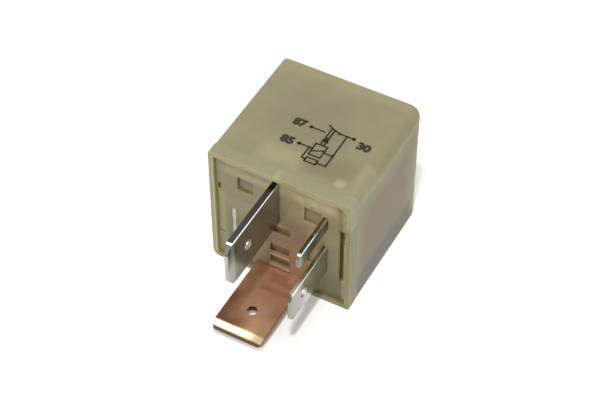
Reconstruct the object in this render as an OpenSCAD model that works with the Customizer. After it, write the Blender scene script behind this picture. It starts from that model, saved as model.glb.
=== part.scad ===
// Plug-in automotive relay, lying on its side with the terminal blades along -Y.
// Depths are counted from the rim of the cover, towards its closed end.

/* [Cover] */
// Width across the mouth of the cover
body_w = 26.5; // [26:0.1:29.5]
// Depth of the cover from its rim to its closed end
body_len = 25.7; // [24:0.1:34]
// Height of the cover as it lies
body_h = 25.6; // [25.2:0.1:29.5]
// Thickness of the cover's walls
wall = 0.8; // [0.7:0.05:1.2]
// How far the band round the mouth stands proud
band_proud = 0.1; // [0.05:0.05:0.3]
// Length of the band round the mouth
band_len = 2.4; // [1.5:0.1:4]
// Radius of the closed end's edge on the coil tab side
end_r_right = 1.2; // [0.8:0.1:3.2]
// Radius of the closed end's edge on the yoke side
end_r_left = 0.9; // [0.6:0.1:2]
// Radius of the upper long edge on the coil tab side
edge_r_top = 2.4; // [0.8:0.1:2.6]
// Radius of the lower long edge on the yoke side
edge_r_low = 1.5; // [0.6:0.1:2]
// Radius of the other two long edges
edge_r = 0.4; // [0.2:0.1:1.4]

/* [Base] */
// Depth of the base below the rim
recess = 0.7; // [0.2:0.1:1.5]
// Thickness of the base
base_t = 3; // [2.4:0.1:3.6]
// Clearance between the base and the cover
base_fit = 0.05; // [0.03:0.01:0.1]
// Depth of the pockets in the base's face
pocket_d = 0.5; // [0.3:0.1:1.4]
// Width of the base's latch slot on the coil tab side
latch_w = 0.8; // [0.5:0.1:0.9]
// Height of the base's latch slot on the coil tab side
latch_h = 12.4; // [8:0.2:14]
// Height of the base's latch notch on the yoke side
notch_h = 2; // [1.6:0.2:6]

/* [Blades] */
// Width of the two load blades
load_w = 9.5; // [8:0.1:9.8]
// Thickness of the two load blades
load_t = 1.2; // [1:0.1:1.4]
// Reach of the load blades beyond the rim
load_reach = 15.3; // [12:0.1:17]
// Width of the wide coil blade
coil_blade_w = 6.3; // [4.8:0.1:6.6]
// Width of the narrow coil blade
small_blade_w = 2.8; // [2.4:0.1:3.2]
// Thickness of the two coil blades
coil_blade_t = 0.8; // [0.6:0.05:1]
// Reach of the wide coil blade beyond the rim
coil_blade_reach = 11.7; // [9:0.1:14]
// Reach of the narrow coil blade beyond the rim
small_blade_reach = 9; // [6:0.1:11]
// Radius of the detent holes in the load blades
load_hole_r = 0.95; // [0.7:0.05:1.2]
// Radius of the detent hole in the wide coil blade
coil_hole_r = 0.9; // [0.6:0.05:1.1]
// Distance of the load blades' holes from the rim
load_hole_at = 9.4; // [7:0.1:10]
// Distance of the wide coil blade's hole from the rim
coil_hole_at = 7.3; // [6:0.1:8]
// Radius of the flat load blade's corners at its tip
tip_round = 1.1; // [0.6:0.1:2]
// Clearance round a blade in the base
blade_fit = 0.05; // [0.03:0.01:0.1]
// Face of the upright load blade, from the middle
upright_x = -0.4; // [-1:0.1:0]
// Distance of the upright load blade from the cover's inner wall above it
upright_inset = 1.05; // [0.2:0.05:1.4]
// Distance of the coil blades' face from the cover's inner wall
coil_blade_inset = 3.75; // [3.4:0.05:3.9]
// Centre of the wide coil blade below the middle
coil_blade_drop = 2.9; // [2.5:0.1:3.3]
// Centre of the narrow coil blade above the middle
small_blade_rise = 5.9; // [5.7:0.1:6.4]

/* [Magnet] */
// Thickness of the yoke
yoke_t = 1.2; // [1:0.1:1.4]
// Width of the yoke
yoke_w = 10; // [8:0.1:10.4]
// Distance of the yoke from the cover's wall
yoke_inset = 2.55; // [2:0.05:2.7]
// Air between the yoke's leg and the bobbin
yoke_air = 2.1; // [1.6:0.1:2.1]
// Air between the bobbin and the coil blades
blade_air = 0.1; // [0.1:0.05:0.6]
// How far the bobbin's flanges stand out beyond the winding, at their flats
flange_lip = 0.2; // [0.1:0.05:0.8]
// Thickness of the bobbin's flanges
flange_t = 0.8; // [0.6:0.1:1.2]
// Radius of the core
core_r = 2.5; // [2:0.1:2.8]
// Radius of the pole at the end of the core
pole_r = 4.2; // [3.4:0.1:4.4]
// Thickness of the pole
pole_t = 0.8; // [0.6:0.1:1.2]
// Diameter of the magnet wire, as wound
wire_d = 0.55; // [0.4:0.05:0.8]

/* [Armature and contacts] */
// Angle through which the armature closes, in degrees
close_deg = 2.4; // [1.5:0.1:2.6]
// Thickness of the armature
arm_t = 1.1; // [0.8:0.1:1.4]
// Thickness of the contact spring
leaf_t = 0.3; // [0.2:0.05:0.4]
// Radius of the contacts
contact_r = 1.4; // [1:0.1:1.5]
// Height of a contact's face above what it is riveted to
contact_h = 0.5; // [0.4:0.05:0.7]
// Thickness of the back stop
stop_t = 0.8; // [0.6:0.05:1]
// Air between the back stop and the closed end
end_air = 0.8; // [0.5:0.1:2]

/* [Resistor] */
// Radius of the resistor's body
resistor_r = 0.95; // [0.7:0.05:1]
// Length of the resistor's body
resistor_len = 3.4; // [2.6:0.1:3.8]
// Radius of the lead wires
lead_r = 0.25; // [0.2:0.01:0.3]

/* [Hidden] */
$fn = 48;
eps = 0.01;
seat = 0.02; // clearance of a piece that is pressed, riveted or soldered in place
run = 0.02;  // clearance left where moving faces meet

// frame: the part's box is centred on X and Y, and stands on Z = 0
rim_y = (load_reach - body_len) / 2;
mid_z = body_h / 2;

// inside of the cover
in_x = body_w / 2 - band_proud - wall;
in_low = wall;
in_top = body_h - band_proud - wall;
end_y = body_len - wall;
base_in = recess + base_t;
long_edges = [edge_r_low, edge_r, edge_r_top, edge_r]; // low left, low right, high right, high left

// blades
wall_air = 0.2;                     // air between the cover's wall and the strips beside it
flat_low = in_low + 2 * wall_air;   // lower face of the flat load blade
flat_top = flat_low + load_t;
upright_z = in_top - upright_inset - load_w / 2;
coil_blade_x = in_x - coil_blade_inset;
coil_blade_z = mid_z - coil_blade_drop;
small_blade_z = mid_z + small_blade_rise;
tongue_len = 2;                     // length of a coil blade's tongue inside the base
tongue_end = base_in + tongue_len;
tongue_w = 0.6;                     // share of a coil blade's width that its tongue keeps

// magnet
yoke_x = -in_x + yoke_inset;
hinge_x = yoke_x + yoke_t;
flange_half = (coil_blade_x - coil_blade_t - blade_air - hinge_x - yoke_air) / 2;
coil_r = flange_half - flange_lip;
flange_r = coil_r + 1.1;
tube_r = core_r + 0.9;              // outside of the bobbin's tube
foot_margin = 1;                    // yoke's foot beyond the core
core_x = hinge_x + yoke_air + flange_half;
foot_top = base_in + yoke_t;
stake_t = 0.7;                      // yoke's staked end, which shows in the base
stake_w = 6.5;
stake_x = hinge_x - 0.9;
stake_drop = 6.2;                   // lower end of the staked end below the middle
stake_z = mid_z - stake_drop;
rivet_r = core_r - 0.6;             // foot of the core, riveted into the yoke

// stack towards the closed end
stop_low = end_y - end_air - stop_t;
head_h = 0.25;                      // back of a contact's rivet
leaf_top = stop_low - run - head_h;
arm_top = leaf_top - leaf_t;
hinge_y = arm_top - arm_t;
pole_y = hinge_y - run - (core_x + pole_r - hinge_x) * sin(close_deg);
flange_top = pole_y - pole_t;
wind_y = foot_top + seat + flange_t;
wind_len = flange_top - flange_t - wind_y;

// contacts
stop_foot_w = 3;
stop_foot_z = mid_z + 3.1;
riser_out = in_x - wall_air;
rivet_shank_r = 0.7;
rivet_back_r = 1;
contact_x = riser_out - load_t - rivet_back_r - 0.1;
contact_swing = (contact_x + contact_r - hinge_x) * sin(close_deg);
fixed_top = arm_top - contact_h - run - contact_swing;
shelf_top = fixed_top - contact_h;
shelf_z = 3.6;                      // width of the shelf under the fixed contact
arm_end = core_x + pole_r + 0.8;
leaf_bend = 0.5;                    // inner radius of the contact spring's bend
leaf_w = 8;                         // width of the contact spring over the armature
leaf_tip_w = 3.6;                   // width of the contact spring at the contact
rivet_spread = 2.6;
rivet_x = [core_x - rivet_spread, core_x + rivet_spread];
rivet_head_r = 1.2;
rivet_head_h = 0.4;
stud_drop = 5;                      // studs that hold the contact spring on the yoke
stud_y = hinge_y - stud_drop;
stud_z = 2.2;
stud_r = 0.5;
stud_air = 0.2;                     // lets the spring's tail lift as the armature closes
tail_margin = 1.6;                  // spring's tail beyond its studs
leg_gap = 3.2;                      // slot between the spring's two legs at its bend
leg_slot_drop = 2.4;                // start of that slot below the hinge
leg_slot_end = 2.6;                 // end of that slot beyond the spring's outer face
link_w = 1.2;                       // strap between the common terminal and the narrow blade
link_t = 0.6;

resistor_x = coil_blade_x + lead_r + seat;
resistor_y = base_in + resistor_r + 0.35;
resistor_z = (coil_blade_z + small_blade_z) / 2 + 1.6;

module place() {
    translate([0, rim_y, 0]) children();
}

// turns a flat shape's height to run from y0 towards the closed end, with its plane in X and Z
module deep(y0, len) {
    translate([0, y0, 0]) rotate([90, 0, 0]) mirror([0, 0, 1]) linear_extrude(len) children();
}

// rectangle from low to high with its own radius at each corner:
// low left, low right, high right, high left
module soft_rect(low, high, r) {
    polygon([[low.x + r[0], low.y], [high.x - r[1], low.y], [high.x, low.y + r[1]], [high.x, high.y - r[2]],
             [high.x - r[2], high.y], [low.x + r[3], high.y], [low.x, high.y - r[3]], [low.x, low.y + r[0]]]);
    translate([low.x + r[0], low.y + r[0]]) circle(r[0]);
    translate([high.x - r[1], low.y + r[1]]) circle(r[1]);
    translate([high.x - r[2], high.y - r[2]]) circle(r[2]);
    translate([low.x + r[3], high.y - r[3]]) circle(r[3]);
}

// strip of thickness t bent through a right angle: along +X for a, then along +Y for b,
// with its outer corner at the origin's far end
module bent_strip(a, b, t, r) {
    translate([0, 0]) square([a - r, t]);
    translate([a - t, r]) square([t, b - r]);
    translate([a - r, r]) intersection() {
        difference() {
            circle(r);
            circle(r - t);
        }
        translate([0, -r]) square(r);
    }
}

// round solid along the depth
module rod(x, y, z, r, len) {
    translate([x, y, z]) rotate([-90, 0, 0]) cylinder(r = r, h = len);
}

// wire through the points, in straight lengths
module wire(points, r) {
    for (i = [0:len(points) - 2]) {
        v = points[i + 1] - points[i];
        translate(points[i]) rotate([0, acos(v.z / norm(v)), atan2(v.y, v.x)]) cylinder(r = r, h = norm(v));
        if (i > 0) translate(points[i]) sphere(r + eps);
    }
}

// blade with its width along X, its tip along -Y and its face up: both faces of the tip are
// bevelled down to a blunt nose and its corners cut, so that a receptacle slides on
module blade(w, t, reach, root, hole_at, hole_r, round_r = 0) {
    corner = w * 0.18;
    // how far back from the tip each step of the bevel is, and how far below the face
    nose = [[1.5, 0], [0.6, 0.12], [0.15, 0.22], [0, 0.3]] * t;
    difference() {
        intersection() {
            linear_extrude(t) if (round_r > 0)
                soft_rect([-w / 2, -reach], [w / 2, root], [round_r, round_r, eps, eps]);
            else
                polygon([[-w / 2, root], [-w / 2, -reach + t], [-w / 2 + corner, -reach],
                         [w / 2 - corner, -reach], [w / 2, -reach + t], [w / 2, root]]);
            rotate([90, 0, 90]) translate([0, 0, -w]) linear_extrude(2 * w)
                polygon(concat([[root, 0]], [for (p = nose) [p.x - reach, p.y]],
                               [for (i = [3:-1:0]) [nose[i].x - reach, t - nose[i].y]], [[root, t]]));
        }
        if (hole_r > 0) translate([0, -hole_at, -eps]) cylinder(r = hole_r, h = t + 2 * eps);
    }
}

// stands a blade on edge, with its right face at x and its width centred on z
module on_edge(x, z) {
    translate([x, 0, z]) rotate([0, -90, 0]) children();
}

module cover_shape(grow, y0, len, radii) {
    half = body_w / 2 - band_proud + grow;
    deep(y0, len) soft_rect([-half, 0], [half, body_h - band_proud + grow], radii);
}

module cover_outside() {
    half = body_w / 2 - band_proud;
    intersection() {
        cover_shape(0, 0, body_len, long_edges);
        linear_extrude(body_h) soft_rect([-half, 0], [half, body_len], [eps, eps, end_r_right, end_r_left]);
    }
    // the band keeps a sharper corner where the body's edge is rounded most
    cover_shape(band_proud, 0, band_len, [edge_r_low, edge_r, edge_r, edge_r]);
    // gate mark left by moulding
    translate([in_x - 3.3, band_len + 1.6, body_h - band_proud - eps])
        cylinder(r1 = 0.8, r2 = 0.4, h = band_proud * 0.8 + eps);
}

// ribs inside the cover that stop the base
module stop_ribs() {
    rib_w = 0.8;
    rib_h = 0.5;
    rib_len = 9;
    start = base_in + base_fit;
    for (x = [-6.4, 6]) translate([x - rib_w / 2, start, in_top - rib_h])
        cube([rib_w, rib_len, rib_h + eps]);
    for (s = [-1, 1]) translate([-in_x - eps, start, mid_z + s * 7 - rib_w / 2])
        cube([rib_h + eps, rib_len, rib_w]);
}

module cover() {
    snap = 0.25;
    color("#a8a488") place() {
        stop_ribs();
        difference() {
            cover_outside();
            // cavity, which leaves the wall as thick at the rounded edges
            intersection() {
                translate([0, 0, in_low - 1]) linear_extrude(body_h) soft_rect([-in_x, -1], [in_x, end_y],
                    [eps, eps, max(eps, end_r_right - wall), max(eps, end_r_left - wall)]);
                deep(-2, body_len + 2) soft_rect([-in_x, in_low], [in_x, in_top],
                    [for (r = long_edges) max(eps, r - wall)]);
            }
            // grooves that the base's nibs snap into
            for (s = [-1, 1]) translate([s * in_x, recess + base_t / 2, mid_z])
                cube([2 * snap, 1, latch_h + 1], center = true);
        }
    }
}

// opening in the base for a blade standing on edge
module edge_slot(x, z, w, t) {
    translate([x - t - blade_fit, recess - eps, z - w / 2 - blade_fit])
        cube([t + 2 * blade_fit, base_t + 2 * eps, w + 2 * blade_fit]);
}

module face_pocket(x, z, w, h, d) {
    translate([x - w / 2, recess - eps, z - h / 2]) cube([w, d + eps, h]);
}

module base() {
    low = in_low + base_fit;
    top = in_top - base_fit;
    side = in_x - base_fit;
    nib = 0.15;
    mould_slot_x = -0.3;
    mould_slot_w = 3.8;
    slot_x = side - 0.95;
    slot_d = 0.9;
    latch_top = mid_z + 5.6;
    color("#9b8f74") place() {
        difference() {
            union() {
                deep(recess, base_t)
                    soft_rect([-side, low], [side, top], [for (r = long_edges) max(0.3, r - wall)]);
                for (s = [-1, 1]) translate([s * side, recess + base_t / 2, mid_z])
                    cube([2 * nib, 0.6, latch_h - 2], center = true);
                // ribs between the moulding slots
                for (z = [0.6, 3.4]) translate([mould_slot_x, recess, flat_top + z])
                    rotate([0, 90, 0]) cylinder(r = 0.28, h = mould_slot_w, center = true);
                // guide round the foot of the back stop
                translate([riser_out - stop_t - 0.6, base_in - eps, stop_foot_z - 0.3])
                    cube([stop_t + 0.6, 1.6, stop_foot_w + 0.9]);
            }
            edge_slot(upright_x, upright_z, load_w, load_t);
            edge_slot(coil_blade_x, coil_blade_z, coil_blade_w, coil_blade_t);
            edge_slot(coil_blade_x, small_blade_z, small_blade_w, coil_blade_t);
            // the flat blade lies at the plate's edge
            translate([-load_w / 2 - blade_fit, recess - eps, low - 1])
                cube([load_w + 2 * blade_fit, base_t + 2 * eps, flat_low + load_t + blade_fit - low + 1]);
            // staked end of the yoke
            translate([stake_x - seat, recess - eps, stake_z - seat])
                cube([stake_t + 2 * seat, base_t + 2 * eps, stake_w + 2 * seat]);
            // foot of the back stop
            translate([riser_out - stop_t - seat, base_in - 1.2, stop_foot_z - seat])
                cube([stop_t + 2 * seat, 3, stop_foot_w + 2 * seat]);
            // end of the core
            rod(core_x, base_in - 0.3, mid_z, rivet_r + 0.4, 1);
            face_pocket(-6.7, mid_z + 7, 3, 3.1, pocket_d);
            face_pocket(5.9, mid_z + 6.2, 3.2, 3.4, pocket_d);
            face_pocket(5.9, mid_z - 4.4, 2, 2.2, pocket_d);
            face_pocket(0.1, flat_top + 10, 3.1, 1.8, pocket_d);
            face_pocket(mould_slot_x, flat_top + 5, mould_slot_w, 1.8, pocket_d);
            face_pocket(mould_slot_x, flat_top + 2, mould_slot_w, 1.6, pocket_d);
            // latch slot with a notch beside it
            translate([slot_x - latch_w / 2, recess - eps, latch_top - latch_h])
                cube([latch_w, slot_d, latch_h]);
            deep(recess - eps, slot_d) polygon([[slot_x, latch_top], [slot_x + latch_w / 2, latch_top],
                [side + 0.2, latch_top - 2.8], [slot_x, latch_top - 3.2]]);
            // notch on the other side, over a shallow step
            translate([-side + 0.3, recess - eps, latch_top - notch_h]) cube([0.55, slot_d, notch_h]);
            translate([-side - eps, recess - eps, latch_top - latch_h])
                cube([1.4, 0.2, latch_h - notch_h]);
        }
    }
}

module terminal_30() {
    tongue_low = mid_z + yoke_w / 2 + seat;
    color("#c9cbca") place() {
        on_edge(upright_x, upright_z)
            blade(load_w, load_t, load_reach, base_in - 0.6, load_hole_at, load_hole_r);
        // tongue beside the yoke's foot
        translate([upright_x - load_t, base_in - 0.6 - eps, tongue_low])
            cube([load_t, 1.7, upright_z + load_w / 2 - 1 - tongue_low]);
    }
}

module terminal_87() {
    plate_end = base_in + 5.2;
    plate_y = base_in + wall_air;
    riser_top = mid_z + 2.6;
    riser_low = mid_z - 4.5;
    bend_r = load_t + 0.6;
    color("#b4714d") place() {
        translate([0, 0, flat_low])
            blade(load_w, load_t, load_reach, plate_y + eps, load_hole_at, load_hole_r, tip_round);
        // plate along the floor, turned up beside the wall
        deep(plate_y, plate_end - plate_y) translate([-load_w / 2, flat_low])
            bent_strip(riser_out + load_w / 2, riser_top - flat_low, load_t, bend_r);
        // riser
        translate([riser_out - load_t, plate_end - eps, riser_low])
            cube([load_t, shelf_top - plate_end + eps, riser_top - riser_low]);
        // shelf under the moving contact
        difference() {
            translate([contact_x - contact_r - 0.1, shelf_top - load_t, mid_z - shelf_z / 2])
                cube([riser_out - contact_x + contact_r + 0.1 - eps, load_t, shelf_z]);
            rod(contact_x, shelf_top - load_t - eps, mid_z, rivet_shank_r + seat, load_t + 2 * eps);
        }
    }
}

// coil blade with a narrower tongue inside
module coil_blade(w, z, reach, hole_at, hole_r) {
    place() {
        on_edge(coil_blade_x, z) blade(w, coil_blade_t, reach, base_in, hole_at, hole_r);
        translate([coil_blade_x - coil_blade_t, base_in - eps, z - w * tongue_w / 2])
            cube([coil_blade_t, tongue_end - base_in + eps, w * tongue_w]);
    }
}

module terminal_85() {
    color("#c9cbca") coil_blade(coil_blade_w, coil_blade_z, coil_blade_reach, coil_hole_at, coil_hole_r);
}

module terminal_86() {
    color("#c9cbca") coil_blade(small_blade_w, small_blade_z, small_blade_reach, 0, 0);
}

module yoke() {
    foot_end = core_x + core_r + foot_margin;
    color("#b9bab6") place() difference() {
        union() {
            // foot under the coil and leg beside it, bent from one strip
            translate([0, 0, mid_z - yoke_w / 2]) linear_extrude(yoke_w) translate([foot_end, base_in])
                mirror([1, 0]) bent_strip(foot_end - yoke_x, hinge_y - base_in, yoke_t, yoke_t + 0.5);
            // staked end in the base
            translate([stake_x, recess + 0.1, stake_z]) cube([stake_t, base_t - 0.1 + yoke_t, stake_w]);
            for (s = [-1, 1]) translate([yoke_x - leaf_t - stud_air, stud_y, mid_z + s * stud_z])
                rotate([0, 90, 0]) cylinder(r = stud_r, h = leaf_t + 2 * stud_air);
        }
        rod(core_x, base_in - eps, mid_z, rivet_r + seat, yoke_t + 2 * eps);
    }
}

module core() {
    color("#9d9e9b") place() {
        rod(core_x, base_in, mid_z, rivet_r, yoke_t + 2 * seat);
        rod(core_x, foot_top + seat, mid_z, core_r, flange_top - foot_top - seat + eps);
        rod(core_x, flange_top, mid_z, pole_r, pole_t);
    }
}

module bobbin() {
    color("#2c2c2e") place() difference() {
        union() {
            for (y = [foot_top + seat, flange_top - seat - flange_t]) deep(y, flange_t) intersection() {
                translate([core_x, mid_z]) circle(flange_r);
                translate([core_x - flange_half, mid_z - flange_r]) square([2 * flange_half, 2 * flange_r]);
            }
            rod(core_x, foot_top + seat + eps, mid_z, tube_r, flange_top - foot_top - 2 * seat - 2 * eps);
        }
        rod(core_x, foot_top, mid_z, core_r + seat, flange_top - foot_top);
    }
}

module coil_winding() {
    len = wind_len - 2 * seat;
    turns = floor(len / wire_d);
    pitch = len / turns;
    color("#b0643c") place() translate([core_x, wind_y + seat, mid_z]) rotate([-90, 0, 0])
        rotate_extrude() polygon(concat([[tube_r + seat, 0]],
            [for (i = [0:turns - 1]) each [[coil_r - pitch * 0.3, i * pitch], [coil_r, (i + 0.3) * pitch],
                                           [coil_r, (i + 0.7) * pitch]]],
            [[coil_r - pitch * 0.3, len], [tube_r + seat, len]]));
}

// end of the winding: it leaves the first turn at an angle, runs beside the bobbin and down to a
// coil blade's tongue
module coil_lead(angle, z) {
    out_x = coil_blade_x - coil_blade_t / 2;
    start = [core_x, wind_y + 1, mid_z] + (coil_r + lead_r + seat) * [cos(angle), 0, sin(angle)];
    color("#b0643c") place() wire([start, [out_x, start.y, start.z], [out_x, start.y, z],
                                   [out_x, tongue_end + seat, z]], lead_r);
}

module coil_lead_85() {
    coil_lead(-10, coil_blade_z + 0.4);
}

module coil_lead_86() {
    coil_lead(30, small_blade_z - 0.4);
}

module armature() {
    heel_x = yoke_x + leaf_bend;
    nose_w = yoke_w - 2;            // narrower end beside the contacts
    color("#aeb0ad") place() difference() {
        deep(hinge_y, arm_t) difference() {
            union() {
                translate([heel_x, mid_z - yoke_w / 2]) square([arm_end - heel_x - 2, yoke_w]);
                soft_rect([core_x - pole_r, mid_z - nose_w / 2], [arm_end, mid_z + nose_w / 2], [1, 1, 1, 1]);
            }
            // notches at the heel's corners
            for (s = [-1, 1]) translate([heel_x, mid_z + s * yoke_w / 2]) square([1.4, 1], center = true);
        }
        for (x = rivet_x) rod(x, hinge_y - eps, mid_z, rivet_shank_r + seat, arm_t + 2 * eps);
    }
}

module contact_spring() {
    tail = stud_y - tail_margin;
    leaf_end = contact_x + contact_r + 0.1;
    step_x = arm_end - 1;
    color("#c28b5c") place() difference() {
        union() {
            translate([0, 0, mid_z - leaf_w / 2]) linear_extrude(leaf_w) translate([step_x, leaf_top])
                rotate(180) bent_strip(step_x - yoke_x + leaf_t, leaf_top - tail, leaf_t, leaf_t + leaf_bend);
            deep(arm_top, leaf_t) {
                tip = leaf_end - step_x;
                translate([step_x - eps, mid_z])
                    polygon([[0, -leaf_w / 2], [tip - 3, -leaf_tip_w / 2], [tip, -leaf_tip_w / 2],
                             [tip, leaf_tip_w / 2], [tip - 3, leaf_tip_w / 2], [0, leaf_w / 2]]);
            }
        }
        for (x = concat(rivet_x, [contact_x]))
            rod(x, arm_top - eps, mid_z, rivet_shank_r + seat, leaf_t + 2 * eps);
        for (s = [-1, 1]) translate([yoke_x - leaf_t - eps, stud_y, mid_z + s * stud_z])
            rotate([0, 90, 0]) cylinder(r = stud_r + stud_air, h = leaf_t + 2 * eps);
        // slot that leaves two legs at the bend
        translate([yoke_x - leaf_t - eps, hinge_y - leg_slot_drop, mid_z - leg_gap / 2])
            cube([leg_slot_end, leaf_top - hinge_y + leg_slot_drop + eps, leg_gap]);
    }
}

module armature_rivets() {
    color("#c6c7c4") place() for (x = rivet_x) {
        rod(x, hinge_y, mid_z, rivet_shank_r, arm_t + leaf_t + seat + eps);
        translate([x, leaf_top + seat, mid_z]) rotate([-90, 0, 0])
            cylinder(r1 = rivet_head_r, r2 = rivet_head_r * 0.7, h = rivet_head_h);
    }
}

module moving_contact() {
    color("#d9d6cc") place() {
        rod(contact_x, arm_top - contact_h, mid_z, contact_r, contact_h - seat);
        rod(contact_x, arm_top - seat - eps, mid_z, rivet_shank_r, leaf_t + 2 * seat + 2 * eps);
        rod(contact_x, leaf_top + seat, mid_z, rivet_back_r, head_h - seat);
    }
}

module fixed_contact() {
    color("#d9d6cc") place() {
        rod(contact_x, shelf_top + seat, mid_z, contact_r, contact_h - seat);
        rod(contact_x, shelf_top - load_t, mid_z, rivet_shank_r, load_t + 2 * seat);
        rod(contact_x, shelf_top - load_t - head_h, mid_z, rivet_back_r, head_h - seat);
        rod(contact_x, shelf_top - load_t - head_h, mid_z, rivet_shank_r, head_h + eps);
    }
}

module back_stop() {
    foot = base_in - 1.1;
    reach = riser_out - contact_x + contact_r;
    rise = stop_low + stop_t - foot;
    color("#b9bab6") place() {
        translate([0, 0, stop_foot_z]) linear_extrude(stop_foot_w)
            translate([riser_out - reach, stop_low + stop_t]) mirror([0, 1])
                bent_strip(reach, rise, stop_t, stop_t + 0.6);
        // finger over the moving contact
        translate([riser_out - reach, stop_low, mid_z - contact_r])
            cube([reach - 1.5, stop_t, stop_foot_z - mid_z + contact_r + eps]);
    }
}

module resistor() {
    cap = 0.7;
    color("#7fa6b4") place() translate([resistor_x, resistor_y, resistor_z]) {
        cylinder(r = resistor_r - 0.12, h = resistor_len - eps, center = true);
        for (s = [-1, 1]) translate([0, 0, s * (resistor_len - cap) / 2])
            cylinder(r = resistor_r, h = cap, center = true);
    }
}

module resistor_leads() {
    low = coil_blade_z + coil_blade_w * tongue_w / 2 - 1.2;
    high = small_blade_z + small_blade_w * tongue_w / 2;
    bottom = resistor_z - resistor_len / 2 - seat;
    top = resistor_z + resistor_len / 2 + seat;
    color("#c6c7c4") place() {
        translate([resistor_x, resistor_y, low]) cylinder(r = lead_r, h = bottom - low);
        translate([resistor_x, resistor_y, top]) cylinder(r = lead_r, h = high - top);
    }
}

module common_link() {
    start = upright_x + seat;
    color("#c6c7c4") place() translate([start, base_in, small_blade_z - link_w / 2])
        cube([coil_blade_x - coil_blade_t - seat - start, link_t, link_w]);
}

cover();
base();
terminal_30();
terminal_87();
terminal_85();
terminal_86();
yoke();
core();
bobbin();
coil_winding();
coil_lead_85();
coil_lead_86();
armature();
contact_spring();
armature_rivets();
moving_contact();
fixed_contact();
back_stop();
resistor();
resistor_leads();
common_link();
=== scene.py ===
# Plug-in automotive relay: finishes, printed diagram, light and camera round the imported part.
import math

import bpy
from mathutils import Matrix, Vector


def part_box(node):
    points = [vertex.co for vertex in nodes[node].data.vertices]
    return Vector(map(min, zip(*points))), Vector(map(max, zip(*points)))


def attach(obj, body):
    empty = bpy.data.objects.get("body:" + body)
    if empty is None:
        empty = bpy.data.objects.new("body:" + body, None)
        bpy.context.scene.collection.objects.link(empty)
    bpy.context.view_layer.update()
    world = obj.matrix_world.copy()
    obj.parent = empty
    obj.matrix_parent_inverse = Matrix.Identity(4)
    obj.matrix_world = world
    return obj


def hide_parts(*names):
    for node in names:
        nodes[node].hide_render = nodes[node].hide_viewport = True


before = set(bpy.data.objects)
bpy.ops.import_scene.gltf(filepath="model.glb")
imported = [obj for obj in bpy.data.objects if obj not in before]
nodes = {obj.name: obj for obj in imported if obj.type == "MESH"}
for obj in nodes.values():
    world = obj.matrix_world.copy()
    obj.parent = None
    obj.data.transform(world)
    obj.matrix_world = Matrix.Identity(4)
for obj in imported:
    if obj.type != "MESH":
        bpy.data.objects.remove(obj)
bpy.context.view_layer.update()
scene = bpy.context.scene
mm = 0.001
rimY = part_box("cover")[0].y            # mouth of the cover
baseFace = (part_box("base")[0].y - rimY) / mm
pastBand = 8 * mm                      # from the mouth, where the cover's top is flat
bodyTop = max(v.co.z for v in nodes["cover"].data.vertices if v.co.y > rimY + pastBand)
bpy.ops.object.select_all(action="DESELECT")
print("frame loaded:", len(nodes), "pieces")


def toLinear(hexColor):
    parts = [int(hexColor[i:i + 2], 16) / 255 for i in (1, 3, 5)]
    return [p / 12.92 if p <= 0.04045 else ((p + 0.055) / 1.055) ** 2.4 for p in parts] + [1.0]


def addNode(tree, kind, values=None, links=None, stops=None, **settings):
    # values and links go to inputs, by name or number; stops are a ramp's colours; settings are the node's
    node = tree.nodes.new("ShaderNode" + kind)
    for name, value in settings.items():
        setattr(node, name, value)
    for name, value in (values or {}).items():
        node.inputs[name].default_value = value
    for name, source in (links or {}).items():
        tree.links.new(source, node.inputs[name])
    for i, (position, color) in enumerate(stops or []):
        stop = node.color_ramp.elements[i] if i < 2 else node.color_ramp.elements.new(position)
        stop.position = position
        stop.color = toLinear(color)
    return node


def startMaterial(name, shaderValues):
    # place is in millimetres: across, in from the mouth of the cover, and up
    material = bpy.data.materials.new(name)
    material.use_nodes = True
    tree = material.node_tree
    tree.nodes.clear()
    shader = addNode(tree, "BsdfPrincipled", shaderValues)
    addNode(tree, "OutputMaterial", links={"Surface": shader.outputs[0]})
    place = addNode(tree, "Mapping", {"Scale": (1 / mm,) * 3, "Location": (0, -rimY / mm, 0)},
                    {"Vector": addNode(tree, "TexCoord").outputs["Object"]})
    return material, tree, shader, place.outputs[0]


def wander(tree, place, size, by):
    # the same place, moved about by up to that many millimetres, so that an edge laid on it isn't straight
    cloud = addNode(tree, "TexNoise", {"Scale": 1 / size, "Detail": 2.0}, {"Vector": place})
    away = addNode(tree, "VectorMath", {1: (0.5, 0.5, 0.5)}, {0: cloud.outputs["Color"]},
                   operation="SUBTRACT")
    return addNode(tree, "VectorMath", {1: (2 * by,) * 3}, {0: away.outputs[0], 2: place},
                   operation="MULTIPLY_ADD").outputs[0]


def zoneMask(tree, place, low, high, soft):
    # 1 inside the box and 0 outside it, over twice the soft distance; inputs 6, 7 and 8 are the
    # vector form's Vector, From Min and From Max
    rise = addNode(tree, "MapRange", {7: [v - soft for v in low], 8: [v + soft for v in low]},
                   {6: place}, data_type="FLOAT_VECTOR", interpolation_type="SMOOTHSTEP")
    fall = addNode(tree, "MapRange", {7: [v + soft for v in high], 8: [v - soft for v in high]},
                   {6: place}, data_type="FLOAT_VECTOR", interpolation_type="SMOOTHSTEP")
    both = addNode(tree, "VectorMath", links={0: rise.outputs["Vector"], 1: fall.outputs["Vector"]},
                   operation="MULTIPLY")
    parts = addNode(tree, "SeparateXYZ", links={0: both.outputs[0]})
    flat = addNode(tree, "Math", links={0: parts.outputs[0], 1: parts.outputs[1]}, operation="MULTIPLY")
    return addNode(tree, "Math", links={0: flat.outputs[0], 1: parts.outputs[2]},
                   operation="MULTIPLY").outputs[0]


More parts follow.
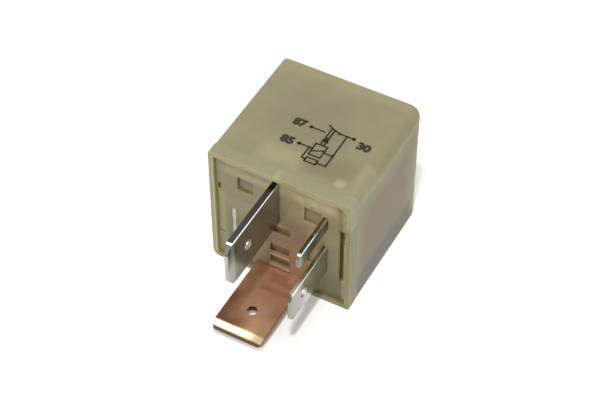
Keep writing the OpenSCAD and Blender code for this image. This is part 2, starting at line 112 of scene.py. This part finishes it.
def layered(tree, place, under, zones):
    # lays the colour of each zone over the last, as strongly as its share says
    for color, low, high, soft, share in zones:
        mask = zoneMask(tree, place, low, high, soft)
        strength = addNode(tree, "Math", {1: share}, {0: mask}, operation="MULTIPLY")
        under = addNode(tree, "Mix", {7: toLinear(color)}, {0: strength.outputs[0], 6: under},
                        data_type="RGBA").outputs[2]
    return under


def only(piece):
    bpy.ops.object.select_all(action="DESELECT")
    piece.select_set(True)
    bpy.context.view_layer.objects.active = piece


def applyModifiers(piece):
    only(piece)
    for name in [m.name for m in piece.modifiers]:
        bpy.ops.object.modifier_apply(modifier=name)


far = 99                               # past every side of the part, in millimetres

# In these settings low and high are a finish's darker and paler colour, cloud, fibre, lump, stain and lines
# are sizes of its patterns in mm, gloss is its least and most roughness, depth is how far light goes in, in
# mm, and zones give the colour, low corner, high corner, softness and share of each place that differs.

coverNylon = {
    "low": "#97906b", "high": "#a09874", "cloud": 5, "fibre": 0.5, "lump": 1.6,
    "gloss": (0.36, 0.52), "depth": 1.6,
    "zones": [
        ("#8a8061", (-9, 8, 8), (5, 21, far), 3.0, 0.5),               # magnet and coil behind the top
        ("#8f8559", (11.5, 3, -far), (far, far, 22.5), 0.8, 0.9),      # right side, painted darker as shade
        ("#836d45", (9, 4.8, 5), (far, 21.5, 19.5), 2.4, 0.9),         # copper strip behind the side
        ("#5e563f", (8, 3, -far), (far, 24, 5.5), 1.6, 0.9),           # lower edge, painted darker as shade by the floor
        ("#aca57a", (-6, 3.2, 20), (1.5, 6.8, far), 1.2, 0.7),         # air behind the top
        ("#9d956d", (7, 9.5, 22), (far, 18, far), 1.2, 0.7),
        ("#8b8059", (2, 3.4, 22), (10, 8.6, far), 1.7, 0.7),           # contact strip behind the top
        ("#a9a27d", (10.8, -far, 23), (far, 10, far), 0.7, 0.8),       # rounded corner, painted highlight
        ("#9d9973", (-far, -far, 18), (far, 2.3, far), 0.4, 0.7),      # band round the mouth
        ("#8a8058", (8, -far, -far), (far, 2.6, 20), 0.6, 0.85),       # band on the side, painted darker as shade
        ("#847b58", (-far, -far, -far), (far, 0.72, 1.3), 0.2, 0.8),   # lower lip, in shade
        ("#b3ad85", (-1.1, -far, 22), (0.3, 1.9, far), 0.5, 0.6),      # painted highlight, a pale streak above the upright blade
        ("#a49c76", (-far, 23.4, 2), (far, far, far), 0.8, 0.8),       # far end
    ],
    # inside of the thin lip, lit through
    "lip": ("#b3ae85", (-12.6, -far, 0.9), (-12.2, 0.8, 24.6), 0.1, 1.0),
    "gate": ("#b6b18d", (8.2, 3.2, 22), (9.9, 4.9, far), 0.5, 0.7),
}


def mouldedCoverNylon():
    # natural glass-filled nylon, moulded thin: milky, satin, and a little see-through, so that it is
    # paler where the base backs it and browner over the magnet and the copper strip
    s = coverNylon
    material, tree, shader, place = startMaterial("mouldedCoverNylon", {
        "IOR": 1.53, "Subsurface Weight": 0.8, "Subsurface Radius": (1.0, 0.85, 0.55),
        "Subsurface Scale": s["depth"] * mm})
    cloud = addNode(tree, "TexNoise", {"Scale": 1 / s["cloud"], "Detail": 3.0, "Roughness": 0.45},
                    {"Vector": place})
    tone = addNode(tree, "ValToRGB", links={0: cloud.outputs[0]}, stops=[(0.3, s["low"]), (0.7, s["high"])])
    color = layered(tree, wander(tree, place, 3, 0.7), tone.outputs[0], s["zones"])
    color = layered(tree, place, color, [s["lip"], s["gate"]])
    tree.links.new(color, shader.inputs["Base Color"])
    flow = addNode(tree, "Mapping", {"Scale": (1, 0.35, 1)}, {"Vector": place})
    fibre = addNode(tree, "TexNoise", {"Scale": 1 / s["fibre"], "Detail": 4.0, "Roughness": 0.6},
                    {"Vector": flow.outputs[0]})
    gloss = addNode(tree, "MapRange", {"To Min": s["gloss"][0], "To Max": s["gloss"][1]},
                    {"Value": fibre.outputs[0]})
    tree.links.new(gloss.outputs[0], shader.inputs["Roughness"])
    lump = addNode(tree, "TexNoise", {"Scale": 1 / s["lump"], "Detail": 1.0}, {"Vector": place})
    slow = addNode(tree, "Bump", {"Strength": 0.3, "Distance": 0.05 * mm}, {"Height": lump.outputs[0]})
    fine = addNode(tree, "Bump", {"Strength": 0.25, "Distance": 0.02 * mm},
                   {"Height": fibre.outputs[0], "Normal": slow.outputs[0]})
    tree.links.new(fine.outputs[0], shader.inputs["Normal"])
    return material


baseNylon = {
    "low": "#8a8161", "high": "#948a69", "cloud": 4, "fibre": 0.4, "gloss": (0.4, 0.58), "depth": 2.0,
    "zones": [
        ("#b8ad85", (-far, -far, 21.4), (far, far, far), 0.9, 0.8),    # lit through the cover
        # painted light: paler towards the upper right, brightest under the cover's top lip
        ("#b8a87d", (0, -far, 17), (10, far, far), 2.0, 0.7),
        ("#d2c69a", (-2, -far, 21.5), (10, far, far), 0.8, 0.7),
        ("#736d52", (-11.5, -far, -far), (-5, far, 12), 2.5, 0.8),     # magnet behind it
        ("#95755a", (-2.5, -far, 2), (5, far, 15), 2.0, 0.8),          # warm light off the copper blade
        ("#6c634c", (7, -far, -far), (far, far, 6.5), 2.5, 0.9),       # copper strip behind it
        ("#94906f", (-far, -far, -far), (-10.6, far, far), 0.6, 0.7),
        ("#7f7452", (-far, baseFace + 0.3, 16), (far, far, far), 0.2, 0.7),      # pockets, painted shade down in them
        ("#6f563a", (-3, baseFace + 0.3, -far), (5, far, 16), 0.2, 0.8),        # slots by the copper blade, painted shade down in them
        ("#7c7448", (10.75, -far, 5.8), (11.9, far, 18.6), 0.2, 0.8),           # latch slots
        # inside and beside the right latch slot: painted shade on its left wall, painted light on its right
        # wall and the strip beside it
        ("#6f6638", (10.6, baseFace + 0.3, -far), (11.4, far, far), 0.15, 0.9),
        ("#b3a96c", (11.4, baseFace + 0.3, -far), (far, far, far), 0.15, 0.9),
        ("#b0a567", (11.78, -far, 5.9), (12.3, far, 18.2), 0.12, 0.85),
        ("#a19b6a", (-12.2, -far, 6.3), (-11, far, 16.1), 0.35, 0.85),          # step strip and its notch, painted light, lit through the cover
        ("#a59c66", (-12.1, baseFace + 0.3, 16.3), (-11.3, far, 18.5), 0.1, 0.9),
    ],
}


def mouldedBaseNylon():
    # glass-filled nylon, moulded thick: browner than the cover, with painted shade down in its pockets and
    # slots and painted light where the cover lets light through
    s = baseNylon
    material, tree, shader, place = startMaterial("mouldedBaseNylon", {
        "IOR": 1.53, "Subsurface Weight": 0.8, "Subsurface Radius": (1.0, 0.8, 0.5),
        "Subsurface Scale": s["depth"] * mm})
    cloud = addNode(tree, "TexNoise", {"Scale": 1 / s["cloud"], "Detail": 3.0}, {"Vector": place})
    tone = addNode(tree, "ValToRGB", links={0: cloud.outputs[0]}, stops=[(0.3, s["low"]), (0.7, s["high"])])
    color = layered(tree, wander(tree, place, 2, 0.1), tone.outputs[0], s["zones"])
    tree.links.new(color, shader.inputs["Base Color"])
    fibre = addNode(tree, "TexNoise", {"Scale": 1 / s["fibre"], "Detail": 4.0}, {"Vector": place})
    gloss = addNode(tree, "MapRange", {"To Min": s["gloss"][0], "To Max": s["gloss"][1]},
                    {"Value": fibre.outputs[0]})
    tree.links.new(gloss.outputs[0], shader.inputs["Roughness"])
    bump = addNode(tree, "Bump", {"Strength": 0.3, "Distance": 0.03 * mm}, {"Height": fibre.outputs[0]})
    tree.links.new(bump.outputs[0], shader.inputs["Normal"])
    return material


def rolledMetal(name, low, high, gloss, stain=3.0, lines=0.15, grain=0.15, along=(1, 0.03, 1),
                lift=0.002, metallic=1.0, shaderValues=None, zones=()):
    # sheet metal: stains a few millimetres wide, fine lines along the way it was rolled, and zones
    # where it is sheared or where light, shade and reflections are painted; the lines are drawn coarser than
    # real ones, so that they show
    material, tree, shader, place = startMaterial(name, {"Metallic": metallic, **(shaderValues or {})})
    cloud = addNode(tree, "TexNoise", {"Scale": 1 / stain, "Detail": 5.0, "Roughness": 0.55},
                    {"Vector": place})
    flow = addNode(tree, "Mapping", {"Scale": along}, {"Vector": place})
    line = addNode(tree, "TexNoise", {"Scale": 1 / lines, "Detail": 3.0}, {"Vector": flow.outputs[0]})
    share = addNode(tree, "Mix", {0: grain}, {2: cloud.outputs[0], 3: line.outputs[0]}, data_type="FLOAT")
    tone = addNode(tree, "ValToRGB", links={0: share.outputs[0]}, stops=[(0.35, low), (0.65, high)])
    tree.links.new(layered(tree, place, tone.outputs[0], zones), shader.inputs["Base Color"])
    rough = addNode(tree, "MapRange", {"From Min": 0.3, "From Max": 0.7, "To Min": gloss[0],
                                       "To Max": gloss[1]}, {"Value": share.outputs[0]})
    tree.links.new(rough.outputs[0], shader.inputs["Roughness"])
    bump = addNode(tree, "Bump", {"Strength": 0.4, "Distance": lift * mm}, {"Height": line.outputs[0]})
    tree.links.new(bump.outputs[0], shader.inputs["Normal"])
    return material


def local(point):
    # a point of the frame in the materials' millimetres
    return Vector((point.x / mm, (point.y - rimY) / mm, point.z / mm))


def bladeBox(nodeName):
    # the corners of what stands out of the mouth of the cover
    points = [local(v.co) for v in nodes[nodeName].data.vertices if v.co.y < rimY]
    return [Vector([pick(p[i] for p in points) for i in range(3)]) for pick in (min, max)]


tip30, top30 = bladeBox("terminal_30")
tip85, top85 = bladeBox("terminal_85")
tip86, top86 = bladeBox("terminal_86")
tip87, top87 = bladeBox("terminal_87")
mid30, mid85 = (tip30.z + top30.z) / 2, (tip85.z + top85.z) / 2

tinPlated = {
    "low": "#a5a39a", "high": "#b5b3aa", "gloss": (0.16, 0.26),
    "zones": [
        # painted reflections on the blades' sides: darker by the upright's root, darker at the wide coil
        # blade's tip and paler along its middle, and darker over the narrow blade
        ("#6e6b5c", (tip30.x - 1, -7, tip30.z - 1), (top30.x + 1, far, far), 3, 0.35),
        ("#8c8a82", (tip85.x - 1, -far, tip85.z - 1), (top85.x + 1, -8, top85.z + 1), 1.5, 0.75),
        ("#d6d4c6", (tip85.x - 1, -6, tip85.z - 1), (top85.x + 1, -1.5, top85.z + 1), 1.2, 0.8),
        ("#7a7361", (tip86.x - 1, -far, tip86.z - 1), (top86.x + 1, far, top86.z + 1), 0.3, 0.9),
        # sheared edges and tip chamfers: bare cut metal, painted mostly dark as shade and dark reflections
        ("#2c2c28", (tip30.x - 1, -far, top30.z - 0.12), (top30.x - 0.12, far, far), 0.04, 0.95),
        ("#3f403a", (tip30.x - 1, -far, top30.z - 1.75), (top30.x - 0.12, tip30.y + 1.25, far), 0.05, 0.9),
        ("#34342f", (tip86.x - 1, -far, top86.z - 0.1),
         (top86.x - 0.12, tip86.y + 5.5, top86.z + 1), 0.05, 0.95),
        ("#968f7c", (tip85.x - 1, -far, top85.z - 0.1), (top85.x - 0.12, far, top85.z + 1), 0.05, 0.9),
        ("#31352f", (tip85.x - 1, -far, top85.z - 1.15),
         (top85.x - 0.1, tip85.y + 0.85, top85.z + 1), 0.05, 0.9),
        # painted highlights along the blades' top edges
        ("#fbfaf6", (top30.x - 0.15, -far, top30.z - 0.15), (top30.x + 1, far, top30.z + 1), 0.02, 1.0),
        ("#fbfaf6", (top86.x - 0.13, -far, top86.z - 0.13), (top86.x + 1, far, top86.z + 1), 0.02, 1.0),
        ("#fbfaf6", (top85.x - 0.17, -far, top85.z - 0.17), (top85.x + 1, far, top85.z + 1), 0.02, 1.0),
        # painted highlights on the walls of the holes
        ("#fbfaf6", (tip30.x + 0.15, -10.2, mid30 - 0.8), (top30.x - 0.02, -8.6, mid30 + 0.8), 0.01, 1.0),
        ("#fbfaf6", (tip85.x + 0.15, -8.1, mid85 - 0.8), (top85.x - 0.02, -6.5, mid85 + 0.8), 0.01, 1.0),
        # painted highlights at the corners where the tips begin
        ("#fbfaf6", (tip30.x - 1, tip30.y + 1.05, top30.z - 0.1), (top30.x + 1, tip30.y + 1.5, far),
         0.04, 1.0),
        ("#fbfaf6", (tip86.x - 1, tip86.y + 0.6, top86.z - 0.1),
         (top86.x + 1, tip86.y + 1.1, top86.z + 1), 0.04, 1.0),
    ],
}


def tinPlate():
    # bright tin plate on brass strip: grey with soft reflections, with painted reflections and highlights,
    # and painted dark on its sheared edges
    return rolledMetal("tinPlate", **tinPlated)


bareCopper = {
    "low": "#cf9b7d", "high": "#dcab8c", "gloss": (0.14, 0.24), "metallic": 0.65,
    "zones": [
        ("#8a5c42", (-far, -far, -far), (tip87.x + 1.3, -7, far), 1.0, 0.8),      # painted shadow of the upright blade down the left side
        # painted shade towards the tip on the left, and painted light towards the tip on the right
        ("#6a422c", (-far, -far, -far), (0, tip87.y + 4, far), 2.0, 0.9),
        ("#f2c193", (2.5, -far, -far), (far, tip87.y + 6, far), 1.5, 0.8),
        ("#a5684a", (-1.5, -4.6, -far), (4.4, -3.6, far), 0.5, 0.5),              # painted reflections of the base's slots
        ("#a5684a", (-0.5, -2.4, -far), (4.4, -1.6, far), 0.5, 0.5),
        ("#f9dfb4", (-far, -far, top87.z - 0.4), (far, tip87.y + 1.6, far), 0.06, 1.0),    # tip bevel, painted pale as a highlight
        ("#3c2b20", (-far, -far, -far), (tip87.x + 0.1, far, top87.z - 0.1), 0.04, 0.9),   # sheared edges: bare cut copper, painted darker as shade and dark reflections
        ("#3c2b20", (top87.x - 0.1, -far, -far), (far, far, far), 0.04, 0.9),
        ("#4b3223", (-far, -far, -far), (far, tip87.y + 0.6, top87.z - 0.22), 0.04, 0.95),
        ("#5a3020", (-1.1, -10.5, tip87.z), (1.1, -8.3, top87.z - 0.06), 0.02, 1.0),       # wall of the hole, painted shade
    ],
}


def rolledCopper():
    # bare rolled copper: clear warm reflections, with a painted shadow and painted shade down its left side
    # and at its tip, and painted light and reflections elsewhere
    return rolledMetal("rolledCopper", **bareCopper)


zincPlated = {"low": "#a09987", "high": "#bfb8a8", "gloss": (0.3, 0.45), "stain": 1.5}


def zincSteel():
    # soft iron with passivated zinc: pale warm grey, satin
    return rolledMetal("zincSteel", **zincPlated)


bronzeStrip = {"low": "#a9764a", "high": "#c9985f", "gloss": (0.24, 0.36), "lines": 0.1}


def springBronze():
    # thin rolled bronze: golden brown, fine lines
    return rolledMetal("springBronze", **bronzeStrip)


contactAlloy = {"low": "#c9c6bb", "high": "#e2e0d8", "gloss": (0.2, 0.4), "stain": 0.6}


def silverContact():
    # silver alloy: white, with a faint yellow haze
    return rolledMetal("silverContact", **contactAlloy)


enamelledWire = {"low": "#8f4a28", "high": "#b96a3d", "gloss": (0.2, 0.3), "stain": 1.2, "along": (1, 1, 1),
                 "shaderValues": {"Coat Weight": 0.7, "Coat Roughness": 0.08}}


def magnetWire():
    # enamelled copper wire: red-brown under clear varnish
    return rolledMetal("magnetWire", **enamelledWire)


bobbinMoulding = {"low": "#222224", "high": "#36363a", "cloud": 0.8, "gloss": (0.42, 0.6)}


def bobbinNylon():
    # black moulded nylon: satin, greyer on its faces
    s = bobbinMoulding
    material, tree, shader, place = startMaterial("bobbinNylon", {"IOR": 1.53})
    cloud = addNode(tree, "TexNoise", {"Scale": 1 / s["cloud"], "Detail": 4.0}, {"Vector": place})
    tone = addNode(tree, "ValToRGB", links={0: cloud.outputs[0]}, stops=[(0.3, s["low"]), (0.8, s["high"])])
    gloss = addNode(tree, "MapRange", {"To Min": s["gloss"][0], "To Max": s["gloss"][1]},
                    {"Value": cloud.outputs[0]})
    bump = addNode(tree, "Bump", {"Strength": 0.3, "Distance": 0.02 * mm}, {"Height": cloud.outputs[0]})
    for source, socket in ((tone, "Base Color"), (gloss, "Roughness"), (bump, "Normal")):
        tree.links.new(source.outputs[0], shader.inputs[socket])
    return material


lacquer = {                            # bands run from one end to the other, each back to the body's colour
    "body": "#8db4bf", "bands": [(0.2, 0.28, "#7a4a26"), (0.38, 0.46, "#2a2624"), (0.56, 0.64, "#a33b2a"),
                                 (0.8, 0.87, "#b08d3e")],
    "cloud": 0.5, "gloss": (0.2, 0.35),
}


def resistorLacquer():
    # baked lacquer on a resistor: pale blue with dark bands round it
    s = lacquer
    material, tree, shader, place = startMaterial("resistorLacquer", {"IOR": 1.5, "Coat Weight": 0.5,
                                                                      "Coat Roughness": 0.1})
    low, high = [local(p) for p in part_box("resistor")]
    axis = addNode(tree, "SeparateXYZ", links={0: place})
    along = addNode(tree, "MapRange", {"From Min": low.z, "From Max": high.z}, {"Value": axis.outputs[2]})
    stops = [(0.0, s["body"])]
    for start, end, color in s["bands"]:
        stops += [(start, color), (end, s["body"])]
    bands = addNode(tree, "ValToRGB", links={0: along.outputs[0]}, stops=stops)
    bands.color_ramp.interpolation = "CONSTANT"
    cloud = addNode(tree, "TexNoise", {"Scale": 1 / s["cloud"], "Detail": 3.0}, {"Vector": place})
    gloss = addNode(tree, "MapRange", {"To Min": s["gloss"][0], "To Max": s["gloss"][1]},
                    {"Value": cloud.outputs[0]})
    for source, socket in ((bands, "Base Color"), (gloss, "Roughness")):
        tree.links.new(source.outputs[0], shader.inputs[socket])
    return material


charredNylon = {"low": "#2e2614", "high": "#473d25", "fibre": 0.3, "gloss": (0.55, 0.75)}


def laserMark():
    # nylon charred by a marking laser: dark brown, matt, paler where the fibres show
    s = charredNylon
    material, tree, shader, place = startMaterial("laserMark", {"IOR": 1.5, "Specular IOR Level": 0.25})
    fibre = addNode(tree, "TexNoise", {"Scale": 1 / s["fibre"], "Detail": 4.0}, {"Vector": place})
    tone = addNode(tree, "ValToRGB", links={0: fibre.outputs[0]},
                   stops=[(0.35, s["low"]), (0.75, s["high"])])
    gloss = addNode(tree, "MapRange", {"To Min": s["gloss"][0], "To Max": s["gloss"][1]},
                    {"Value": fibre.outputs[0]})
    for source, socket in ((tone, "Base Color"), (gloss, "Roughness")):
        tree.links.new(source.outputs[0], shader.inputs[socket])
    return material


finishes = {
    "cover_nylon": mouldedCoverNylon(), "base_nylon": mouldedBaseNylon(), "tin_plate": tinPlate(),
    "copper": rolledCopper(), "zinc_steel": zincSteel(), "bobbin_nylon": bobbinNylon(),
    "magnet_wire": magnetWire(), "spring_bronze": springBronze(), "silver_contact": silverContact(),
    "resistor_lacquer": resistorLacquer(),
}
for node in nodes.values():
    for each in node.material_slots:
        each.material = finishes[each.material.name]
print("finishes made:", len(finishes))


softEdges = {                          # moulded and sheared edges, with the width that is rounded off in mm
    "cover": {"piece": "coverShell", "slot": "cover_nylon", "width": 0.14, "smooth": 25},
    "base": {"piece": "basePlate", "slot": "base_nylon", "width": 0.07, "smooth": 25},
    "terminal_30": {"piece": "blade30", "slot": "tin_plate", "width": 0.15, "smooth": 6},
    "terminal_87": {"piece": "blade87", "slot": "copper", "width": 0.1, "smooth": 6},
    "terminal_85": {"piece": "blade85", "slot": "tin_plate", "width": 0.15, "smooth": 6},
    "terminal_86": {"piece": "blade86", "slot": "tin_plate", "width": 0.13, "smooth": 6},
}
sharpFrom = 28                         # degrees between faces, from which an edge is rounded
sameFlat = 0.5                         # degrees between faces, up to which they are one flat
sameCorner = 0.002                     # mm between corners, up to which they are one


def softenEdges(nodeName, piece, slot, width, smooth):
    mesh = nodes[nodeName].data.copy()
    copy = bpy.data.objects.new(piece, mesh)
    scene.collection.objects.link(copy)
    only(copy)
    bpy.ops.object.mode_set(mode="EDIT")
    bpy.ops.mesh.select_all(action="SELECT")
    bpy.ops.mesh.customdata_custom_splitnormals_clear()
    bpy.ops.mesh.remove_doubles(threshold=sameCorner * mm)
    bpy.ops.mesh.dissolve_limited(angle_limit=math.radians(sameFlat))
    bpy.ops.object.mode_set(mode="OBJECT")
    bpy.ops.object.shade_smooth_by_angle(angle=math.radians(smooth))
    bevel = copy.modifiers.new("edge", "BEVEL")
    bevel.width = width * mm
    bevel.segments = 2
    bevel.limit_method = "ANGLE"
    bevel.angle_limit = math.radians(sharpFrom)
    bevel.harden_normals = True
    applyModifiers(copy)
    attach(copy, "relay")
    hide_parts(nodeName)


for nodeName, settings in softEdges.items():
    softenEdges(nodeName, **settings)
print("edges softened:", len(softEdges))


marking = {                            # terminal numbers and wiring diagram on the top face, in mm
    "line": 0.31, "proud": 0.012, "sunk": 0.05,
    "weight": 0.062,                   # how much the numbers are thickened, as a share of their size
    "numbers": [("87", -4.4, 12.2, 2.4, 1.8), ("85", -4.4, 7.8, 2.4, 1.8), ("30", 7.5, 12.1, 2.4, 1.75)],
    "arrow": (2.45, 11.4, 0.85),
    "dots": [(-1.1, 13.05, 0.36), (6.4, 13.85, 0.36), (-1.1, 8.8, 0.36), (3.75, 13.8, 0.26),
             (0.8, 8.8, 0.24), (5.15, 8.75, 0.22)],
    "strokes": [
        [(-1.1, 13.05), (1.4, 13.05)],                                 # fixed contact
        [(1.4, 14.8), (2.6, 14.2), (3.75, 13.85)],                     # contact arm
        [(3.75, 13.85), (6.4, 13.85)],
        [(5.15, 13.85), (5.15, 6.2), (3.5, 6.2)],                      # to the common terminal
        [(2.15, 14.3), (2.15, 10.1)], [(2.75, 14.05), (2.75, 10.1)],   # link from the coil to the arm
        [(1.4, 7.4), (3.5, 7.4), (3.5, 10.1), (1.4, 10.1), (1.4, 7.4)],  # coil
        [(1.4, 8.2), (3.5, 9.2)],
        [(-1.1, 8.8), (1.4, 8.8)], [(3.5, 8.75), (5.15, 8.75)],
        [(0.8, 8.8), (0.8, 6.2), (1.5, 6.2)],
        [(1.5, 5.75), (3.5, 5.75), (3.5, 6.7), (1.5, 6.7), (1.5, 5.75)],  # resistor
    ],
}
markFinish = laserMark()


def finishMark(pieces, name):
    only(pieces[0])
    for each in pieces:
        each.select_set(True)
    if len(pieces) > 1:
        bpy.ops.object.join()
    piece = bpy.context.view_layer.objects.active
    piece.name = name
    bpy.ops.object.transform_apply(location=True, rotation=True, scale=True)
    thick = piece.modifiers.new("thickness", "SOLIDIFY")
    thick.thickness = (marking["proud"] + marking["sunk"]) * mm
    thick.offset = -1
    applyModifiers(piece)
    piece.data.materials.clear()
    piece.data.materials.append(markFinish)
    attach(piece, "relay")


def onTop(x, y):
    return Vector((x * mm, rimY + y * mm, bodyTop + marking["proud"] * mm))


def stroke(points, width):
    made = []
    for a, b in zip(points, points[1:]):
        start, end = onTop(*a), onTop(*b)
        way = end - start
        bpy.ops.mesh.primitive_plane_add(size=1, location=(start + end) / 2,
                                         rotation=(0, 0, math.atan2(way.y, way.x)))
        bar = bpy.context.active_object
        bar.scale = (way.length + width * mm, width * mm, 1)
        made.append(bar)
    return made


lines = []
for points in marking["strokes"]:
    lines += stroke(points, marking["line"])
for x, y, radius in marking["dots"]:
    bpy.ops.mesh.primitive_circle_add(vertices=24, radius=radius * mm, fill_type="NGON",
                                      location=onTop(x, y))
    lines.append(bpy.context.active_object)
x, y, radius = marking["arrow"]
bpy.ops.mesh.primitive_circle_add(vertices=3, radius=radius * mm, fill_type="NGON", location=onTop(x, y))
lines.append(bpy.context.active_object)
finishMark(lines, "markDiagram")

for text, x, y, width, height in marking["numbers"]:
    bpy.ops.object.text_add(location=(0, 0, 0))
    number = bpy.context.active_object
    number.data.body = text
    number.data.size = 1
    number.data.offset = marking["weight"]
    number.data.resolution_u = 4
    bpy.ops.object.convert(target="MESH")
    number = bpy.context.active_object
    corners = [v.co for v in number.data.vertices]
    low = Vector([min(c[i] for c in corners) for i in range(3)])
    high = Vector([max(c[i] for c in corners) for i in range(3)])
    fit = Matrix.Diagonal((width * mm / (high.x - low.x), height * mm / (high.y - low.y), 1, 1))
    number.data.transform(Matrix.Translation(onTop(x, y)) @ fit @ Matrix.Translation(-low))
    finishMark([number], "mark" + text)
print("marking made:", 1 + len(marking["numbers"]), "pieces")


floorSettings = {
    "size": 2.0,                                        # metres
    "color": "#fafaf8",
    "lift": 0.42,                                       # strength of the white that is only seen
    "under": ((-4, -18.5, -1), (11, -2, 1), 2.5),       # painted shade: a patch under the blades without the seen white, deepening their shadow: corners and softness in mm
}
worldSettings = {"light": 0.3, "seen": 1.0}             # strength that lights the part, and that is seen


def seenRays(tree):
    # 1 for what the camera sees, and for what shows in metal and through glass
    rays = addNode(tree, "LightPath")
    seen = addNode(tree, "Math", links={0: rays.outputs["Is Camera Ray"], 1: rays.outputs["Is Glossy Ray"]},
                   operation="MAXIMUM")
    return addNode(tree, "Math", links={0: seen.outputs[0], 1: rays.outputs["Is Transmission Ray"]},
                   operation="MAXIMUM").outputs[0]


def whiteFloor():
    # matt white paper; the part of its white that the lamps don't give is seen, and lights nothing
    s = floorSettings
    bpy.ops.mesh.primitive_plane_add(size=s["size"], location=(0, 0, 0))
    floor = bpy.context.active_object
    floor.name = "floor"
    material = bpy.data.materials.new("whitePaper")
    material.use_nodes = True
    tree = material.node_tree
    tree.nodes.clear()
    paper = addNode(tree, "BsdfDiffuse", {"Color": toLinear(s["color"])})
    place = addNode(tree, "Mapping", {"Scale": (1 / mm,) * 3},
                    {"Vector": addNode(tree, "TexCoord").outputs["Object"]})
    # painted shade: the seen white is left out in the patch under the blades
    under = zoneMask(tree, place.outputs[0], *s["under"])
    clear = addNode(tree, "Math", {0: 1.0}, {1: under}, operation="SUBTRACT")
    rest = addNode(tree, "Math", {1: s["lift"]}, {0: clear.outputs[0]}, operation="MULTIPLY")
    strength = addNode(tree, "Math", links={0: rest.outputs[0], 1: seenRays(tree)}, operation="MULTIPLY")
    glow = addNode(tree, "Emission", {"Color": (1, 1, 1, 1)}, {"Strength": strength.outputs[0]})
    total = addNode(tree, "AddShader", links={0: paper.outputs[0], 1: glow.outputs[0]})
    addNode(tree, "OutputMaterial", links={"Surface": total.outputs[0]})
    floor.data.materials.append(material)


def whiteWorld():
    world = bpy.data.worlds.new("whiteRoom")
    scene.world = world
    world.use_nodes = True
    tree = world.node_tree
    tree.nodes.clear()
    strength = addNode(tree, "MapRange", {"To Min": worldSettings["light"], "To Max": worldSettings["seen"]},
                       {"Value": seenRays(tree)})
    back = addNode(tree, "Background", {"Color": (1, 1, 1, 1)}, {"Strength": strength.outputs[0]})
    addNode(tree, "OutputWorld", links={"Surface": back.outputs[0]})


lamps = {                              # metres; share is what a lamp adds to a white surface that faces it
    "keyLamp": {"way": (0.13, -0.33, 0.94), "away": 0.35, "size": 0.03, "share": 0.52},
    "backLamp": {"way": (-0.32, 0.3, 0.9), "away": 0.32, "size": 0.1, "share": 0.07},
    "fillLamp": {"way": (-0.25, -0.95, 0.18), "away": 0.3, "size": 0.2, "share": 0.28},
    "sideLamp": {"way": (0.9, -0.25, 0.2), "away": 0.3, "size": 0.2, "share": 0.06},
}


def softLamp(name, way, away, size, share):
    bpy.ops.object.light_add(type="AREA", location=Vector(way).normalized() * away)
    lamp = bpy.context.active_object
    lamp.name = name
    lamp.data.size = size
    lamp.data.energy = share * math.pi ** 2 * away ** 2     # watts of a square lamp that add that share
    lamp.rotation_euler = Vector(way).to_track_quat("Z", "Y").to_euler()


cameraSettings = {                     # degrees and mm
    "azimuth": 28.73, "elevation": 47.857, "distance": 277.52, "aim": (-1.951, 5.507, 9.345), "lens": 97.073,
}


def addCamera():
    s = cameraSettings
    azimuth, elevation = math.radians(s["azimuth"]), math.radians(s["elevation"])
    back = Vector((math.sin(azimuth) * math.cos(elevation), -math.cos(azimuth) * math.cos(elevation),
                   math.sin(elevation)))
    bpy.ops.object.camera_add(location=Vector(s["aim"]) * mm + back * s["distance"] * mm)
    camera = bpy.context.active_object
    camera.rotation_euler = back.to_track_quat("Z", "Y").to_euler()
    camera.data.lens = s["lens"]
    camera.data.clip_start = 0.01
    scene.camera = camera


whiteFloor()
whiteWorld()
for name, settings in lamps.items():
    softLamp(name, **settings)
addCamera()
scene.view_settings.view_transform = "Standard"
print("stage set")
